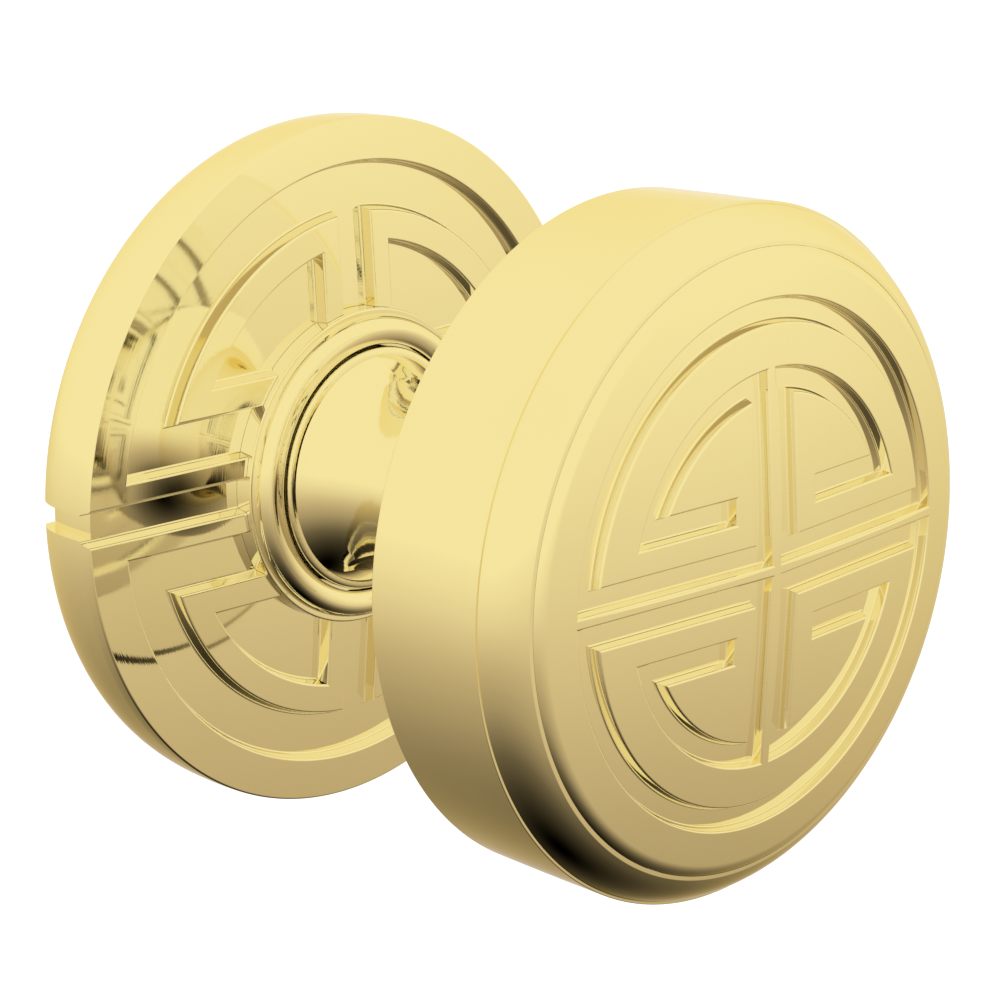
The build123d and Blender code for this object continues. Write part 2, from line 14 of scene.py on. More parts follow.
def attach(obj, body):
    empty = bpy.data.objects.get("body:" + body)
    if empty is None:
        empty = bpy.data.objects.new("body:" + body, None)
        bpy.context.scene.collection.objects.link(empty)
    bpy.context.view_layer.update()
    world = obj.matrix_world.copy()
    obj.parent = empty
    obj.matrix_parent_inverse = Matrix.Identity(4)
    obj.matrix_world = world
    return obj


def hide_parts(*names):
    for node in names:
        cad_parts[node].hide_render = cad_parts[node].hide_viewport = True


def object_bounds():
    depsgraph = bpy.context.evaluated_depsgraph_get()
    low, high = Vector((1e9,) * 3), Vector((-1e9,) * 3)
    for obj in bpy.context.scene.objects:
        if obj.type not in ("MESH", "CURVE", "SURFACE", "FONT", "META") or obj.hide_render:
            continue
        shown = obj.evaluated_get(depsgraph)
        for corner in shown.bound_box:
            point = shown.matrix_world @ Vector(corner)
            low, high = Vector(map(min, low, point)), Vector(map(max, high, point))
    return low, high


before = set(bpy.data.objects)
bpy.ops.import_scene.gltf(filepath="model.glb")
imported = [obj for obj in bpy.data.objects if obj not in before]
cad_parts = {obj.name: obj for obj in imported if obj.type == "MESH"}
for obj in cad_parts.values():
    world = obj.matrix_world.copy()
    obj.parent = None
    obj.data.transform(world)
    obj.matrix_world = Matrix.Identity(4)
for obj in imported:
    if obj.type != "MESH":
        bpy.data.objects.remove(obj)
cad_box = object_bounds()

MM = 0.001
TURN = 2 * math.pi
AROUND = 288                      # divisions of a turned piece
ARC_STEP = math.radians(1.25)     # divisions of the fretwork's arcs
CORNER_STEP = math.radians(9)     # divisions of a rounded corner
SHARP = math.radians(8)           # a bend larger than this is a corner
FILL_STEP = 2.5                   # spacing of the points inside a fretted surface
HOLE_STEP = math.radians(2.5)     # divisions of the collar's hole
HOLE_CLEAR = math.radians(0.8)    # and how far they keep from the fretwork's ends
SAME = 1e-4                       # points closer than this are one
QUARTERS = ((1, 1), (1, -1), (-1, 1), (-1, -1))   # signs of x and z

# ---- driving dimensions, in mm ------------------------------------------------------------------
EDGE_GAP = 0.02                   # drawn between two pieces that meet edge to edge

ROSE_R = 33.235
ROSE_BACK_R = 31.35
ROSE_WALL_S = 8.1
ROSE_WALL_LEAVE = (4.5, 5.2)      # the outer wall's curve at its back
ROSE_WALL_ARRIVE = (8, 0.35)      # and at its front
ROSE_DOME = 2.1
ROSE_EDGE_ROUND = 0.2
ROSE_CAVITY_R = 28.8
ROSE_CEILING_S = 6.0
ROSE_HOLE_R = 13.0
ROSE_SEAT_S = 8.35
ROSE_RELIEF = 1.25
ROSE_FILLET = 0.25                # radius at the top and at the foot of a fretwork wall
ROSE_DRAFT = 14                   # lean of a fretwork wall, in degrees
RIM_R = 29.0
SLOT_HALF = 1.55
SLOT_DEPTH = 1.15                 # how far the slot cuts into the outer wall
STRIP_TOP = 3.8
FRAME_R2 = 24.6
FRAME_R1 = 21.5
FRAME_Z1 = 8.05
FRAME_Z2 = 10.9
FRAME_X1 = 2.0
FRAME_X2 = 4.5

COLLAR_R = 15.25
COLLAR_BACK_S = 6.1
COLLAR_FLANGE_S = 10.35
COLLAR_FLANGE_ROUND = 0.2
COLLAR_BEAD_R = 14.7
COLLAR_CREST_R = 13.35
COLLAR_TOP_S = 12.0
COLLAR_MOUTH_S = 11.45
COLLAR_MOUTH_R = 11.95
COLLAR_MOUTH_EASE = 0.05          # how much wider the mouth is at its front
COLLAR_BUSH_S = 10.9
COLLAR_BORE_R = 11.2

HEAD_BACK_S = 41.2
HEAD_BACK_R = 30.1
HEAD_BACK_ROUND = 0.6
HEAD_REAR_S = 42.1                # back end of the round wall
HEAD_REAR_R = 31.2
HEAD_REAR_ROUND = 0.3
HEAD_EDGE_S = 54.75               # front end of the round wall
HEAD_FRONT_R = 31.76
HEAD_EDGE_ROUND = 0.08
HEAD_WALL_RISE = 0.04             # how far the round wall bulges
HEAD_STEP = 0.25                  # small step from the wall in to the cone
HEAD_STEP_S = 0.03
CONE_RISE = 0.40                  # how far the cone bulges
LIP_EDGE_R = 28.7                 # where the cone meets the lip's narrow front
LIP_EDGE_S = 58.1
LIP_S = 58.15
LIP_ROUND = 0.15
HEAD_BORE_R = 29.3
HEAD_BORE_S = 53.25               # front end of the bore
HEAD_WALL = 2.2                   # thickness of the back
HEAD_BORE_FOOT = ((2.0, 0.0), (0.5, 1.5), (0.0, 5.0))   # steps from the bore to the back, as (s, inset)
LEDGE_R = 26.2                    # ledge that the face sits on
LEDGE_THICK = 1.2
HUB_S = 40.9
STEM_R = 7.9
NECK_SEAT_R = 14.4                # recess for the neck's flange

FACE_R = 28.3
FACE_ROUND = 1.9                  # radius of the face's soft edge
FACE_ROUND_END = math.radians(50)
FACE_ROUND_STEPS = 8
FACE_BACK_ROUND = 0.25
FACE_SEAT_S = 56.2
FACE_RIM_S = 58.55
FACE_RIM_R = 28.55
FACE_DOME = 2.68
FACE_RELIEF = 1.0
FACE_FILLET = 0.22
FACE_DRAFT = 12
RING_R2 = 23.9
RING_R1 = 21.9
BAR_HALF_Z = 0.6
BAR_HALF_X = 0.65
LEVEL_Z2 = 2.65
UPRIGHT_X2 = 2.75
ARC_R2 = 17.9
ARC_R1 = 15.85
HOOK_Z1 = 5.25
HOOK_Z2 = 7.45
HOOK_X1 = 5.45


# ---- skins: faces with a normal at every corner -------------------------------------------------
class Skin:
    """Gathers faces whose corners meet at shared points, then makes them into a piece."""

    def __init__(self):
        self.numbers = {}
        self.points = []
        self.faces = []
        self.normals = []

    def number(self, point):
        """The number of a point (x, z, s), new or already there."""
        key = tuple(round(value / SAME) for value in point)
        if key not in self.numbers:
            self.numbers[key] = len(self.points)
            self.points.append(tuple(point))
        return self.numbers[key]

    def face(self, corners, normals):
        """Adds a face, turned to look along its normals. Corners that fall together count once."""
        kept = []
        for corner, normal in zip(corners, normals):
            index = self.number(corner)
            if index not in [k[0] for k in kept]:
                kept.append((index, normal))
        if len(kept) < 3:
            return
        places = [self.points[k[0]] for k in kept]
        first = np.subtract(places[1], places[0])
        across = np.cross(first, np.subtract(places[2], places[0]))
        if len(places) == 4:
            diagonal = np.subtract(places[2], places[0])
            across = across + np.cross(diagonal, np.subtract(places[3], places[0]))
        if np.dot(across, np.sum([k[1] for k in kept], axis=0)) < 0:
            kept.reverse()
        self.faces.append([k[0] for k in kept])
        self.normals.extend(k[1] for k in kept)

    def grid(self, rows, normals):
        """Joins rows of points, each as long as the next, with four-cornered faces."""
        for k in range(len(rows) - 1):
            for i in range(len(rows[k]) - 1):
                self.face(
                    (rows[k][i], rows[k][i + 1], rows[k + 1][i + 1], rows[k + 1][i]),
                    (normals[k][i], normals[k][i + 1], normals[k + 1][i + 1], normals[k + 1][i]),
                )

    def make(self, name, body, material, slot, *nodes):
        """The finished piece, riding on its body in place of the CAD nodes it stands for."""
        mesh = bpy.data.meshes.new(name)
        mesh.from_pydata([in_frame(p, MM) for p in self.points], [], self.faces)
        mesh.polygons.foreach_set("use_smooth", [True] * len(self.faces))
        mesh.normals_split_custom_set([in_frame(n, 1.0).normalized() for n in self.normals])
        mesh.materials.append(material)
        piece = bpy.data.objects.new(name, mesh)
        bpy.context.scene.collection.objects.link(piece)
        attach(piece, body)
        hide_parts(*nodes)
        return piece


def in_frame(point, scale):
    """(x, z, s) as the frame's X, Y and Z."""
    return Vector((point[0] * scale, -point[2] * scale, point[1] * scale))


# ---- turned profiles ----------------------------------------------------------------------------
def samples(profile):
    """Points and normals (s, r, ns, nr) along a profile of (s, r) or (s, r, corner radius)."""
    points = [np.array(p[:2], float) for p in profile]
    radii = [p[2] if len(p) > 2 else 0.0 for p in profile]
    found = []
    for i, point in enumerate(points):
        before = point - points[i - 1] if i else None
        after = points[i + 1] - point if i + 1 < len(points) else None
        if before is None or after is None:
            way = after if before is None else before
            found.append((*point, *left_of(way)))
            continue
        start = math.atan2(before[1], before[0])
        bend = (math.atan2(after[1], after[0]) - start + math.pi) % TURN - math.pi
        if radii[i]:
            inset = radii[i] * math.tan(abs(bend) / 2)
            corner = point - before / np.linalg.norm(before) * inset
            steps = max(2, math.ceil(abs(bend) / CORNER_STEP))
            side = math.copysign(radii[i], bend)
            centre = corner + side * left_of(before)
            for k in range(steps + 1):
                turned = start + bend * k / steps
                out = np.array((-math.sin(turned), math.cos(turned)))
                found.append((*(centre - side * out), *out))
        elif abs(bend) < SHARP:
            mean = left_of(before) + left_of(after)
            found.append((*point, *(mean / np.linalg.norm(mean))))
        else:
            found.append((*point, *left_of(before)))
            found.append((*point, *left_of(after)))
    return found


def left_of(way):
    """The direction to the left of a direction."""
    return np.array((-way[1], way[0])) / np.linalg.norm(way)


def bow(start, end, rise, steps=10):
    """Points of a shallow arc between two points that rises to its left, without its ends."""
    start, end = np.array(start, float), np.array(end, float)
    half = np.linalg.norm(end - start) / 2
    radius = (half**2 + rise**2) / (2 * rise)
    out = left_of(end - start)
    points = []
    for k in range(1, steps):
        along = half * (2 * k / steps - 1)
        lift = math.sqrt(radius**2 - along**2) - (abs(radius) - abs(rise))
        on_chord = (start + end) / 2 + (end - start) * (k / steps - 0.5)
        points.append(tuple(on_chord + out * math.copysign(lift, rise)))
    return points


def flow(start, end, leave, arrive, steps=40):
    """Points of a smooth curve between two points that leaves and arrives along two directions."""
    start, end = np.array(start, float), np.array(end, float)
    leave, arrive = np.array(leave, float), np.array(arrive, float)
    points = []
    for k in range(1, steps):
        t = k / steps
        points.append(tuple(
            start * (2 * t**3 - 3 * t**2 + 1) + leave * (t**3 - 2 * t**2 + t)
            + end * (3 * t**2 - 2 * t**3) + arrive * (t**3 - t**2)
        ))
    return points


def turn(skin, profile, angles=None):
    """Revolves a profile about the spindle's axis."""
    if angles is None:
        angles = np.arange(AROUND) * TURN / AROUND
    closed = np.append(angles, angles[0] + TURN)
    found = samples(profile)
    cos, sin = np.cos(closed), np.sin(closed)
    for (s1, r1, ns1, nr1), (s2, r2, ns2, nr2) in zip(found, found[1:]):
        if math.hypot(s2 - s1, r2 - r1) < SAME:
            continue
        rows = [[(r * c, r * d, s) for c, d in zip(cos, sin)] for s, r in ((s1, r1), (s2, r2))]
        ways = [[(nr * c, nr * d, ns) for c, d in zip(cos, sin)] for ns, nr in ((ns1, nr1), (ns2, nr2))]
        skin.grid(rows, ways)


# ---- domes and fretwork -------------------------------------------------------------------------
class Dome:
    """A spherical dome that passes s_edge at r_edge and rises by rise at the centre."""

    def __init__(self, s_edge, r_edge, rise):
        self.radius = (r_edge**2 + rise**2) / (2 * rise)
        self.centre = s_edge + rise - self.radius

    def place(self, x, z, depth=0.0):
        """The point over (x, z), sunk by depth."""
        return (x, z, self.centre + math.sqrt(self.radius**2 - x * x - z * z) - depth)

    def normal(self, x, z, toward=(0.0, 0.0), tilt=0.0):
        """The dome's normal over (x, z), tilted towards a level direction."""
        up = np.array((x, z, math.sqrt(self.radius**2 - x * x - z * z))) / self.radius
        level = np.array((toward[0], toward[1], 0.0))
        return tuple(up * math.cos(tilt) + level * math.sin(tilt))


def wall_rows(depth, fillet, draft, steps=6):
    """A fretwork wall from land to ground as (inset, depth, tilt), drafted, with a rounded lip and foot."""
    lean = math.pi / 2 - math.radians(draft)
    straight = (depth - 2 * fillet * (1 - math.cos(lean))) / math.sin(lean)
    start = -fillet * math.sin(lean) - straight * math.cos(lean) / 2
    foot_inset = start + fillet * math.sin(lean) + straight * math.cos(lean)
    foot_depth = depth - fillet * (1 - math.cos(lean))
    tilts = [lean * k / steps for k in range(steps + 1)]
    rows = [(start + fillet * math.sin(t), fillet * (1 - math.cos(t)), t) for t in tilts]
    for t in reversed(tilts):
        inset = foot_inset + fillet * (math.sin(lean) - math.sin(t))
        rows.append((inset, foot_depth + fillet * (math.cos(t) - math.cos(lean)), t))
    return rows


def line(start, end):
    """A straight side: its points, and the direction towards the ground on its left."""
    toward = left_of(np.subtract(end, start))
    return [(start, toward), (end, toward)]


def arc(start, end, sense, nominal):
    """A side round the centre, sense 1 anticlockwise. Its division follows the nominal angle."""
    a1 = math.atan2(start[1], start[0])
    span = (math.atan2(end[1], end[0]) - a1) * sense % TURN
    radius = math.hypot(*start)
    steps = max(2, round(math.radians(nominal) / ARC_STEP))
    side = []
    for k in range(steps + 1):
        a = a1 + sense * span * k / steps
        out = np.array((math.cos(a), math.sin(a)))
        side.append(((radius * out[0], radius * out[1]), -sense * out))
    side[-1] = (tuple(end), side[-1][1])
    return side


def on_circle(radius, x=None, z=None):
    """The point of a circle, in the first quarter, at a given x or z."""
    if x is None:
        return (math.sqrt(radius**2 - z**2), z)
    return (x, math.sqrt(radius**2 - x**2))


def mirrored(sides, sign_x, sign_z):
    """The same sides mirrored, with the ground still on their left."""
    made = []
    for side in sides:
        copy = [((p[0] * sign_x, p[1] * sign_z), (t[0] * sign_x, t[1] * sign_z)) for p, t in side]
        made.append(copy if sign_x * sign_z > 0 else copy[::-1])
    return made


def four_quarters(sides):
    """The first quarter's sides and their three mirror images."""
    return [side for signs in QUARTERS for side in mirrored(sides, *signs)]


def outline_points(sides):
    """The sides as points alone."""
    return [[point for point, _ in side] for side in sides]


def bearing(point):
    """The angle of a point about the axis, from nought to a full turn."""
    return math.atan2(point[1], point[0]) % TURN


def around(radius, angle):
    """The point of a circle at an angle, as (x, z)."""
    return (radius * math.cos(angle), radius * math.sin(angle))


def build_walls(skin, dome, outline, rows):
    """Makes the walls between land and ground. outline(inset) gives the sides at that inset."""
    levels = [outline(inset) for inset, _, _ in rows]
    for number in range(len(levels[0])):
        places, ways = [], []
        for (_, depth, tilt), sides in zip(rows, levels):
            places.append([dome.place(*p, depth) for p, _ in sides[number]])
            ways.append([dome.normal(*p, t, tilt) for p, t in sides[number]])
        skin.grid(places, ways)


def fill(skin, dome, sides, inside, depth):
    """Fills the part of a dome where inside(x, z) holds, between sides."""
    numbers, flat, edges = {}, [], []
    for side in sides:
        chain = []
        for point in side:
            key = tuple(round(value / SAME) for value in point)
            if key not in numbers:
                numbers[key] = len(flat)
                flat.append(point)
            chain.append(numbers[key])
        edges.extend((a, b) for a, b in zip(chain, chain[1:]) if a != b)
    reach = max(math.hypot(*p) for p in flat)
    ticks = np.arange(-reach, reach, FILL_STEP)
    extra = [(x, z) for x in ticks for z in ticks if math.hypot(x, z) < reach and inside(x, z)]
    found = delaunay_2d_cdt([Vector(p) for p in flat + extra], edges, [], 0, SAME / 10)
    places = [(p[0], p[1]) for p in found[0]]
    for corners in found[2]:
        points = [places[c] for c in corners]
        if inside(*np.mean(points, axis=0)):
            skin.face([dome.place(*p, depth) for p in points], [dome.normal(*p) for p in points])


def circle(radius, angles):
    """A whole circle as a chain of points, from its angles."""
    return [around(radius, a) for a in [*angles, angles[0]]]


def stitch(skin, outer, inner, s, way):
    """A flat ring between two circles, each (radius, angles), with different divisions."""
    rings = []
    for radius, angles in (outer, inner):
        rings.append([((*around(radius, a), s), a) for a in [*angles, angles[0] + TURN]])
    far, near = rings
    normals = [(0, 0, way)] * 3
    i = j = 0
    while i < len(far) - 1 or j < len(near) - 1:
        a, b = far[i][0], near[j][0]
        if j == len(near) - 1 or (i < len(far) - 1 and far[i + 1][1] < near[j + 1][1]):
            i += 1
            skin.face((a, far[i][0], b), normals)
        else:
            j += 1
            skin.face((a, near[j][0], b), normals)


# ---- face disc ----------------------------------------------------------------------------------
def face_outline(inset):
    """Sides of the face's two grooves, moved into the grooves by inset."""
    ring2, ring1 = RING_R2 - inset, RING_R1 + inset
    bar_z, bar_x = BAR_HALF_Z + inset, BAR_HALF_X + inset
    level, upright = LEVEL_Z2 - inset, UPRIGHT_X2 - inset
    arc2, arc1 = ARC_R2 - inset, ARC_R1 + inset
    hook1, hook2, hook_x = HOOK_Z1 + inset, HOOK_Z2 - inset, HOOK_X1 + inset
    return four_quarters([
        arc((0, ring1), on_circle(ring1, z=level), -1, 83),
        line(on_circle(ring1, z=level), (upright, level)),
        line((upright, level), on_circle(arc1, x=upright)),
        arc(on_circle(arc1, x=upright), on_circle(arc1, z=hook2), -1, 52),
        line(on_circle(arc1, z=hook2), (hook_x, hook2)),
        line((hook_x, hook2), (hook_x, hook1)),
        line((hook_x, hook1), on_circle(arc2, z=hook1)),
        arc(on_circle(arc2, z=hook1), on_circle(arc2, x=bar_x), 1, 71),
        line(on_circle(arc2, x=bar_x), (bar_x, bar_z)),
        line((bar_x, bar_z), on_circle(ring2, z=bar_z)),
        arc(on_circle(ring2, z=bar_z), (0, ring2), 1, 88),
    ])


def in_groove(x, z, inset):
    """Whether a point of the face lies in a groove drawn in by inset."""
    x, z, r = abs(x), abs(z), math.hypot(x, z)
    if z < BAR_HALF_Z + inset or r > RING_R2 - inset:
        return False
    if r > RING_R1 + inset:
        return True
    if x < BAR_HALF_X + inset:
        return False
    if z < LEVEL_Z2 - inset:
        return True
    if r > ARC_R2 - inset:
        return False
    if x < UPRIGHT_X2 - inset:
        return True
    if z < HOOK_Z1 + inset:
        return False
    return r > ARC_R1 + inset or (z < HOOK_Z2 - inset and x > HOOK_X1 + inset)


def make_face_disc(material):
    """Domed disc with fretwork grooves."""
    dome = Dome(FACE_RIM_S, FACE_RIM_R, FACE_DOME)
    rows = wall_rows(FACE_RELIEF, FACE_FILLET, FACE_DRAFT)
    inset_top, inset_floor = rows[0][0], rows[-1][0]
    skin = Skin()
    build_walls(skin, dome, face_outline, rows)
    angles = np.arange(AROUND) * TURN / AROUND
    slope = math.asin(FACE_R / dome.radius)
    land_r = FACE_R - FACE_ROUND * (math.sin(FACE_ROUND_END) - math.sin(slope))
    fill(
        skin, dome, [*outline_points(face_outline(inset_top)), circle(land_r, angles)],
        lambda x, z: math.hypot(x, z) < land_r and not in_groove(x, z, inset_top), 0.0,
    )
    fill(
        skin, dome, outline_points(face_outline(inset_floor)),
        lambda x, z: in_groove(x, z, inset_floor), FACE_RELIEF,
    )
    s_land = dome.place(land_r, 0)[2]
    rim = []
    for k in range(FACE_ROUND_STEPS + 1):
        tilt = slope + (FACE_ROUND_END - slope) * k / FACE_ROUND_STEPS
        drop = FACE_ROUND * (math.cos(slope) - math.cos(tilt))
        rim.append((s_land - drop, land_r + FACE_ROUND * (math.sin(tilt) - math.sin(slope)), tilt))
    closed = [*angles, TURN]
    skin.grid(
        [[(*around(r, a), s) for a in closed] for s, r, _ in rim],
        [[(*around(math.sin(tilt), a), math.cos(tilt)) for a in closed] for _, _, tilt in rim],
    )
    s_side, r_side, _ = rim[-1]
    turn(skin, [(FACE_SEAT_S, 0), (FACE_SEAT_S, r_side, FACE_BACK_ROUND), (s_side, r_side)])
    return skin.make("face_disc_looks", "knob", material, "polished_brass", "face_disc")


# ---- rose cover ---------------------------------------------------------------------------------
def rose_outline(inset):
    """Sides of the rose's sunken ground in the upper and lower halves, its four panels and its slot."""
    hole = COLLAR_R + EDGE_GAP
    rim, strip = RIM_R - inset, STRIP_TOP + inset
    outer, frame_z, frame_x = FRAME_R2 + inset, FRAME_Z1 - inset, FRAME_X1 - inset
    inner, panel_z, panel_x = FRAME_R1 - inset, FRAME_Z2 + inset, FRAME_X2 + inset
    return four_quarters([
        line(on_circle(hole, z=strip), on_circle(rim, z=strip)),
        arc(on_circle(rim, z=strip), (0, rim), 1, 82),
        line(on_circle(hole, x=frame_x), on_circle(outer, x=frame_x)),
        arc(on_circle(outer, x=frame_x), on_circle(outer, z=frame_z), -1, 66),
        line(on_circle(outer, z=frame_z), on_circle(hole, z=frame_z)),
        line(on_circle(hole, z=panel_z), on_circle(inner, z=panel_z)),
        arc(on_circle(inner, z=panel_z), on_circle(inner, x=panel_x), 1, 47),
        line(on_circle(inner, x=panel_x), on_circle(hole, x=panel_x)),
    ])


def in_ground(x, z, inset):
    """Whether a point of the rose lies in its sunken ground, drawn in by inset."""
    x, z, r = abs(x), abs(z), math.hypot(x, z)
    if z < SLOT_HALF - inset:
        return True
    in_panel = r < FRAME_R1 - inset and z > FRAME_Z2 + inset and x > FRAME_X2 + inset
    in_frame_band = r < FRAME_R2 + inset and z > FRAME_Z1 - inset and x > FRAME_X1 - inset
    in_field = r < RIM_R - inset and z > STRIP_TOP + inset
    return in_panel or (in_field and not in_frame_band)


def wall_sides(radius, foot):
    """First quarter's sides of the outer wall at one height.

    They are the slot's side, the raised half, the slot's floor, and the edge behind the half.
    """
    core = radius - SLOT_DEPTH
    corner = on_circle(core, z=foot)
    return [
        line(on_circle(radius, z=foot), corner),
        arc((0, radius), on_circle(radius, z=foot), -1, 87),
        arc(corner, (core, 0), -1, 4),
        arc((0, core), corner, -1, 87),
    ]


def make_rose_wall(skin, dome, foot):
    """The outer wall with a slot at both ends, and the flat back.

    Returns the angles of the back's points.
    """
    height = ROSE_WALL_S - ROSE_RELIEF
    curve = flow((0, ROSE_BACK_R), (height, ROSE_R), ROSE_WALL_LEAVE, ROSE_WALL_ARRIVE, steps=12)
    levels = samples([(0, ROSE_BACK_R), *curve, (height, ROSE_R)])[::-1]
    angles = set()
    for signs in QUARTERS:
        places, ways = ([], [], []), ([], [], [])
        for k, (s, r, ns, nr) in enumerate(levels):
            for number, side in enumerate(mirrored(wall_sides(r, foot), *signs)[:3]):
                at_top, in_slot = k == 0, number == 0
                places[number].append([dome.place(*p, ROSE_RELIEF) if at_top else (*p, s) for p, _ in side])
                ways[number].append([(*t, 0) if in_slot else (t[0] * nr, t[1] * nr, ns) for _, t in side])
        for number in range(3):
            skin.grid(places[number], ways[number])
        _, half, floor, behind = mirrored(wall_sides(ROSE_BACK_R, foot), *signs)
        back = [[(*p, 0) for p, _ in side] for side in (half, behind)]
        skin.grid(back, [[(0, 0, -1)] * len(half)] * 2)
        angles |= {round(bearing(p), 9) for p, _ in floor + behind}
    return sorted(angles)


def rose_edge(depth):
    """Radius and tilt of the rose's rounded outer edge at a depth below the land."""
    if depth >= ROSE_EDGE_ROUND:
        return ROSE_R, math.pi / 2
    reach = math.sqrt(ROSE_EDGE_ROUND**2 - (ROSE_EDGE_ROUND - depth) ** 2)
    return ROSE_R - ROSE_EDGE_ROUND + reach, math.acos(1 - depth / ROSE_EDGE_ROUND)


def half_edge(inset, depth):
    """Slot side, in two lengths, and outer edge of the first quarter's raised half."""
    z = SLOT_HALF - inset
    radius, _ = rose_edge(depth)
    corner, middle = on_circle(radius, z=z), on_circle(ROSE_R - SLOT_DEPTH, z=z)
    end = on_circle(COLLAR_R + EDGE_GAP, z=z)
    return [line(corner, middle), line(middle, end), arc((0, radius), corner, -1, 87)]


def level_sides(inset, more):
    """All of the rose's sides at one level, with the collar hole's arcs between their ends."""
    hole = COLLAR_R + EDGE_GAP
    sides = outline_points(rose_outline(inset) + four_quarters(more))
    ends = [bearing(p) for side in sides for p in (side[0], side[-1]) if abs(math.hypot(*p) - hole) < SAME]
    regular = [
        a for a in np.arange(0, TURN, HOLE_STEP)
        if min(abs((a - end + math.pi) % TURN - math.pi) for end in ends) > HOLE_CLEAR
    ]
    return [*sides, circle(hole, sorted(set(ends) | set(regular)))]


def make_rose_cover(material):
    """Domed cover with raised fretwork, cut through by a level slot, hollow behind."""
    dome = Dome(ROSE_WALL_S, ROSE_R, ROSE_DOME)
    rows = wall_rows(ROSE_RELIEF, ROSE_FILLET, ROSE_DRAFT)
    inset_top, inset_floor = rows[0][0], rows[-1][0]
    hole = COLLAR_R + EDGE_GAP
    skin = Skin()
    build_walls(skin, dome, rose_outline, rows)

    for signs in QUARTERS:
        levels = [mirrored(half_edge(inset, depth), *signs) for inset, depth, _ in rows]
        for number in range(3):
            places, ways = [], []
            for (_, depth, tilt), sides in zip(rows, levels):
                lean = tilt if number < 2 else rose_edge(depth)[1]
                places.append([dome.place(*p, depth) for p, _ in sides[number]])
                ways.append([dome.normal(*p, t, lean) for p, t in sides[number]])
            skin.grid(places, ways)

    land_r, floor_r = ROSE_R - ROSE_EDGE_ROUND, ROSE_R - SLOT_DEPTH
    fill(
        skin, dome, level_sides(inset_top, half_edge(inset_top, 0.0)),
        lambda x, z: hole < math.hypot(x, z) < land_r and not in_ground(x, z, inset_top), 0.0,
    )
    foot = SLOT_HALF - inset_floor
    slot_end = wall_sides(ROSE_R, foot)[2]
    fill(
        skin, dome, level_sides(inset_floor, [*half_edge(inset_floor, ROSE_RELIEF)[1:2], slot_end]),
        lambda x, z: hole < math.hypot(x, z) < floor_r and in_ground(x, z, inset_floor), ROSE_RELIEF,
    )

    edge_points = sorted((p for p in skin.points if abs(math.hypot(p[0], p[1]) - hole) < SAME), key=bearing)
    bore = [bearing(p) for p in edge_points]
    seat = [(p[0], p[1], ROSE_SEAT_S) for p in edge_points]
    inward = [(-p[0] / hole, -p[1] / hole, 0) for p in edge_points]
    skin.grid([[*edge_points, edge_points[0]], [*seat, seat[0]]], [[*inward, inward[0]]] * 2)
    turn(skin, [(ROSE_SEAT_S, hole), (ROSE_SEAT_S, ROSE_HOLE_R), (ROSE_CEILING_S, ROSE_HOLE_R)], bore)
    angles = np.array(make_rose_wall(skin, dome, foot))
    stitch(skin, (ROSE_CAVITY_R, angles), (ROSE_HOLE_R, bore), ROSE_CEILING_S, -1)
    turn(skin, [(ROSE_CEILING_S, ROSE_CAVITY_R), (0, ROSE_CAVITY_R), (0, ROSE_BACK_R - SLOT_DEPTH)], angles)
    return skin.make("rose_cover_looks", "rose", material, "polished_brass", "rose_cover")


# ---- plain turned pieces ------------------------------------------------------------------------
def make_collar_ring(material):
    """Broad bead on a thin flange, open to the neck."""
    bead, crest = (COLLAR_FLANGE_S, COLLAR_BEAD_R), (COLLAR_TOP_S, COLLAR_CREST_R)
    mouth = (COLLAR_MOUTH_S, COLLAR_MOUTH_R + COLLAR_MOUTH_EASE)
    skin = Skin()
    turn(skin, [
        (COLLAR_BACK_S, COLLAR_BORE_R), (COLLAR_BACK_S, ROSE_HOLE_R), (ROSE_SEAT_S, ROSE_HOLE_R),
        (ROSE_SEAT_S, COLLAR_R), (COLLAR_FLANGE_S, COLLAR_R, COLLAR_FLANGE_ROUND),
        bead, *flow(bead, crest, leave=(2.4, 0.0), arrive=(0.0, -2.4)),
        crest, *flow(crest, mouth, leave=(0.0, -1.6), arrive=(-1.0, -0.6), steps=16), mouth,
        (COLLAR_BUSH_S, COLLAR_MOUTH_R), (COLLAR_BUSH_S, COLLAR_BORE_R), (COLLAR_BACK_S, COLLAR_BORE_R),
    ])
    return skin.make("collar_ring_looks", "rose", material, "polished_brass", "collar_ring")


def make_knob_shell(material):
    """Hollow head: dished back, round wall, cone and front lip."""
    inner_s = HEAD_BACK_S + HEAD_WALL
    seam_r = FACE_R + EDGE_GAP
    rear, front = (HEAD_REAR_S, HEAD_REAR_R), (HEAD_EDGE_S, HEAD_FRONT_R)
    cone, lip = (HEAD_EDGE_S + HEAD_STEP_S, HEAD_FRONT_R - HEAD_STEP), (LIP_EDGE_S, LIP_EDGE_R)
    skin = Skin()
    turn(skin, [
        (HUB_S, STEM_R), (HUB_S, NECK_SEAT_R), (HEAD_BACK_S, HEAD_BACK_R, HEAD_BACK_ROUND),
        (*rear, HEAD_REAR_ROUND), *bow(rear, front, HEAD_WALL_RISE), (*front, HEAD_EDGE_ROUND),
        cone, *bow(cone, lip, CONE_RISE), (*lip, LIP_ROUND),
        (LIP_S, seam_r), (FACE_SEAT_S, seam_r),
        (FACE_SEAT_S, LEDGE_R), (FACE_SEAT_S - LEDGE_THICK, LEDGE_R),
        (HEAD_BORE_S, HEAD_BORE_R), *[(inner_s + s, HEAD_BORE_R - inset) for s, inset in HEAD_BORE_FOOT],
        (inner_s, STEM_R), (HUB_S, STEM_R),
    ])
    return skin.make("knob_shell_looks", "knob", material, "polished_brass", "knob_shell")


